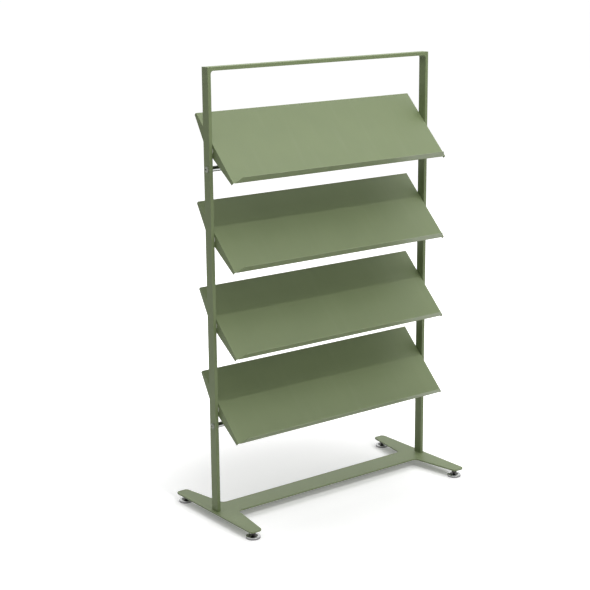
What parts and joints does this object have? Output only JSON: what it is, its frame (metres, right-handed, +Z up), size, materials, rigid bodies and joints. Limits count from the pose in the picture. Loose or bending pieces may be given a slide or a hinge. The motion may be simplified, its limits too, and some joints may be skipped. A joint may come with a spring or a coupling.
{
  "type": "display stand",
  "caption": "Free-standing steel display stand with sloping folded-sheet shelves that tilt on friction pivots between flat-bar posts, on an H-shaped foot plate with levelling feet.",
  "frame": {"origin": "on the floor under the middle of the foot plate", "axes": "+X to the stand's right seen from the front, +Y to the back, +Z up"},
  "size_m": [1.026, 0.49, 1.64],
  "materials": {
    "green_paint": "matt reseda green powder coat",
    "chrome": "bright chrome plate",
    "zinc_steel": "dull zinc plate",
    "dark_steel": "dark threaded steel",
    "black_plastic": "black moulded plastic",
    "nylon": "natural nylon"
  },
  "bodies": {
    "frame": {"base_plate": "green_paint", "post_left": "green_paint", "post_right": "green_paint", "top_rail": "green_paint", "corner_welds": "green_paint", "post_screws": "zinc_steel", "tie_rod_upper": "chrome", "tie_rod_lower": "chrome", "tie_rod_bolts": "zinc_steel", "pivot_bolts": "zinc_steel", "pivot_spacers": "nylon", "pivot_springs": "zinc_steel", "foot_nuts": "dark_steel"},
    "shelf_1": {"shelf_1_panel": "green_paint", "shelf_1_bushes": "nylon"},
    "shelf_2": {"shelf_2_panel": "green_paint", "shelf_2_bushes": "nylon"},
    "shelf_3": {"shelf_3_panel": "green_paint", "shelf_3_bushes": "nylon"},
    "shelf_4": {"shelf_4_panel": "green_paint", "shelf_4_bushes": "nylon"},
    "foot_front_left": {"foot_front_left_cap": "chrome", "foot_front_left_pad": "black_plastic", "foot_front_left_stud": "dark_steel"},
    "foot_front_right": {"foot_front_right_cap": "chrome", "foot_front_right_pad": "black_plastic", "foot_front_right_stud": "dark_steel"},
    "foot_back_left": {"foot_back_left_cap": "chrome", "foot_back_left_pad": "black_plastic", "foot_back_left_stud": "dark_steel"},
    "foot_back_right": {"foot_back_right_cap": "chrome", "foot_back_right_pad": "black_plastic", "foot_back_right_stud": "dark_steel"}
  },
  "joints": [
    {"name": "shelf_1_tilt", "type": "hinge", "parent": "frame", "child": "shelf_1", "pos_m": [0, 0, 1.355], "axis": [1, 0, 0], "range_deg": [-45, 15]},
    {"name": "shelf_2_tilt", "type": "hinge", "parent": "frame", "child": "shelf_2", "pos_m": [0, 0, 1.045], "axis": [1, 0, 0], "range_deg": [-45, 15]},
    {"name": "shelf_3_tilt", "type": "hinge", "parent": "frame", "child": "shelf_3", "pos_m": [0, 0, 0.735], "axis": [1, 0, 0], "range_deg": [-45, 15]},
    {"name": "shelf_4_tilt", "type": "hinge", "parent": "frame", "child": "shelf_4", "pos_m": [0, 0, 0.425], "axis": [1, 0, 0], "range_deg": [-45, 15]},
    {"name": "foot_front_left_level", "type": "slide", "parent": "frame", "child": "foot_front_left", "axis": [0, 0, 1], "range_m": [-0.006, 0]},
    {"name": "foot_front_right_level", "type": "slide", "parent": "frame", "child": "foot_front_right", "axis": [0, 0, 1], "range_m": [-0.006, 0]},
    {"name": "foot_back_left_level", "type": "slide", "parent": "frame", "child": "foot_back_left", "axis": [0, 0, 1], "range_m": [-0.006, 0]},
    {"name": "foot_back_right_level", "type": "slide", "parent": "frame", "child": "foot_back_right", "axis": [0, 0, 1], "range_m": [-0.006, 0]}
  ]
}
